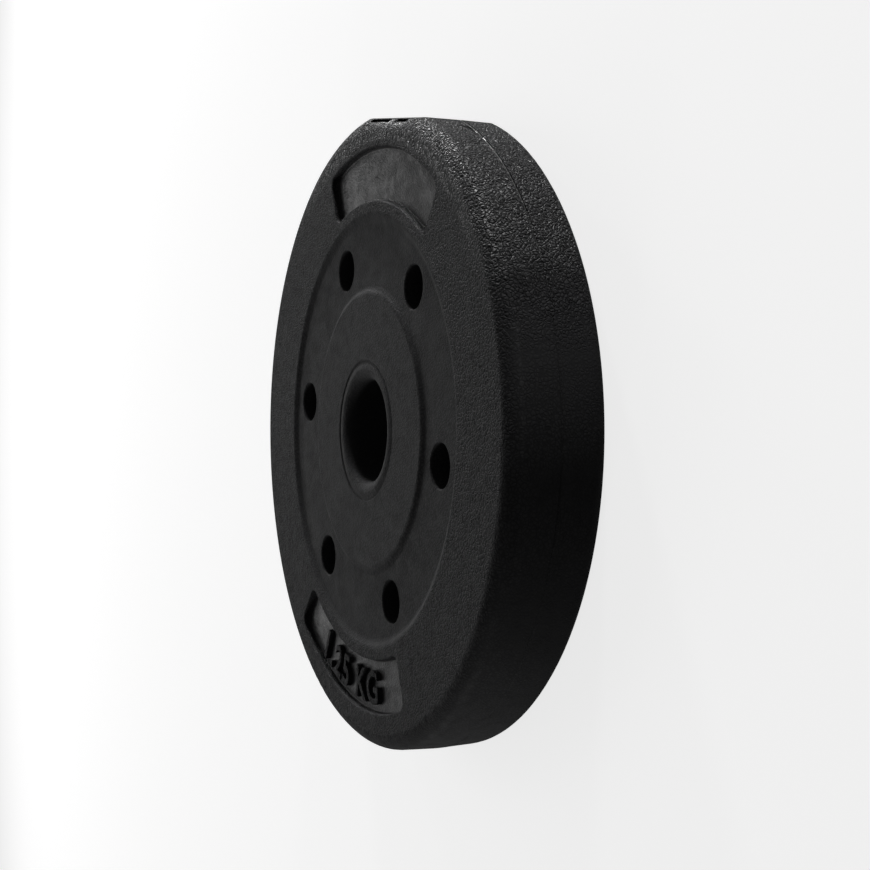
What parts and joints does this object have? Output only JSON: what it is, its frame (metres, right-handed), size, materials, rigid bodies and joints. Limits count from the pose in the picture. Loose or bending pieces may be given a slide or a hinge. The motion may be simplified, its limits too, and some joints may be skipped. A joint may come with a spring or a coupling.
{
  "type": "rubber weight plate",
  "caption": "Small round rubber weight plate with a plain bore, six small holes and a flat on its rim.",
  "frame": {"origin": "centre of the bore, half way through the plate", "axes": "+Z along the bore axis, out of the front face, which looks up as the plate lies; +Y towards the flat on the rim; +X towards the small hole at three o'clock"},
  "size_m": [0.175, 0.1728, 0.0264],
  "materials": {
    "rubber": "grained matte"
  },
  "bodies": {
    "root": {"plate": "rubber"}
  },
  "joints": []
}
